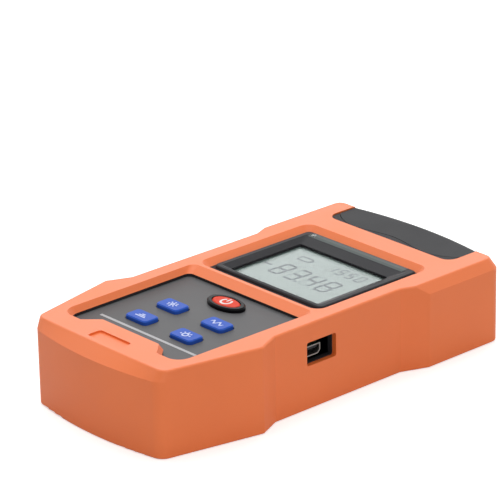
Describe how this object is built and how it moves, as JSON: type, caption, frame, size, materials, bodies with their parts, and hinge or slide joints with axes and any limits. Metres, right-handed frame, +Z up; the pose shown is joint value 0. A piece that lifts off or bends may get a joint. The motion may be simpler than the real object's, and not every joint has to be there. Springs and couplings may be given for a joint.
{
  "type": "optical power meter",
  "caption": "Hand-held optical power meter in a soft boot, with a display, a keypad, a USB socket and fibre ports under a hinged dust cap.",
  "frame": {"origin": "middle of the meter's box, on the table it lies on", "axes": "+X to the right of the display, +Y from the keypad towards the optical ports, +Z up out of the display"},
  "size_m": [0.0844, 0.1624, 0.0326],
  "materials": {
    "boot_rubber": "soft satin",
    "casing_plastic": "fine textured",
    "cap_plastic": "fine textured",
    "panel_film": "printed film",
    "bezel_plastic": "satin gloss",
    "ring_plastic": "gloss",
    "key_rubber": "soft satin",
    "power_key_rubber": "soft satin",
    "lens_glass": "clear",
    "lcd_film": "satin",
    "diffuser": "frosted",
    "clear_plastic": "frosted",
    "board_laminate": "solder mask",
    "chip_resin": "moulded",
    "switch_metal": "plated",
    "screw_steel": "zinc plated",
    "plated_steel": "nickel plated",
    "port_plate_metal": "anodised",
    "port_metal": "nickel plated",
    "laser_brass": "turned",
    "cell_sleeve": "shrink sleeve"
  },
  "bodies": {
    "meter": {"protective_boot": "boot_rubber", "front_casing": "casing_plastic", "rear_casing": "casing_plastic", "casing_screws": "screw_steel", "battery_door": "casing_plastic", "battery_door_screw": "screw_steel", "keypad_panel": "panel_film", "power_key_ring": "ring_plastic", "display_bezel": "bezel_plastic", "display_lens": "lens_glass", "lcd_glass": "lcd_film", "lcd_backlight": "diffuser", "led_light_pipe": "clear_plastic", "status_led": "clear_plastic", "main_board": "board_laminate", "board_screws": "screw_steel", "key_switches": "switch_metal", "processor_chip": "chip_resin", "usb_socket": "plated_steel", "usb_tongue": "chip_resin", "port_plate": "port_plate_metal", "detector_port": "port_metal", "laser_port": "port_metal", "port_nuts": "port_metal", "photodiode": "plated_steel", "laser_module": "laser_brass", "batteries": "cell_sleeve", "battery_springs": "plated_steel", "battery_plates": "plated_steel"},
    "dust_cap": {"dust_cap": "cap_plastic"},
    "power_key": {"power_key": "power_key_rubber"},
    "laser_key": {"laser_key": "key_rubber"},
    "wavelength_key": {"wavelength_key": "key_rubber"},
    "reference_key": {"reference_key": "key_rubber"},
    "backlight_key": {"backlight_key": "key_rubber"}
  },
  "joints": [
    {"name": "cap_hinge", "type": "hinge", "parent": "meter", "child": "dust_cap", "pos_m": [0, 0.0752, 0.0062], "axis": [-1, 0, 0], "range_deg": [0, 90]},
    {"name": "power_key_press", "type": "slide", "parent": "meter", "child": "power_key", "axis": [0, 0, -1], "range_m": [0, 0.0006], "stiffness_N_per_m": 500},
    {"name": "laser_key_press", "type": "slide", "parent": "meter", "child": "laser_key", "axis": [0, 0, -1], "range_m": [0, 0.0006], "stiffness_N_per_m": 500},
    {"name": "wavelength_key_press", "type": "slide", "parent": "meter", "child": "wavelength_key", "axis": [0, 0, -1], "range_m": [0, 0.0006], "stiffness_N_per_m": 500},
    {"name": "reference_key_press", "type": "slide", "parent": "meter", "child": "reference_key", "axis": [0, 0, -1], "range_m": [0, 0.0006], "stiffness_N_per_m": 500},
    {"name": "backlight_key_press", "type": "slide", "parent": "meter", "child": "backlight_key", "axis": [0, 0, -1], "range_m": [0, 0.0006], "stiffness_N_per_m": 500}
  ]
}
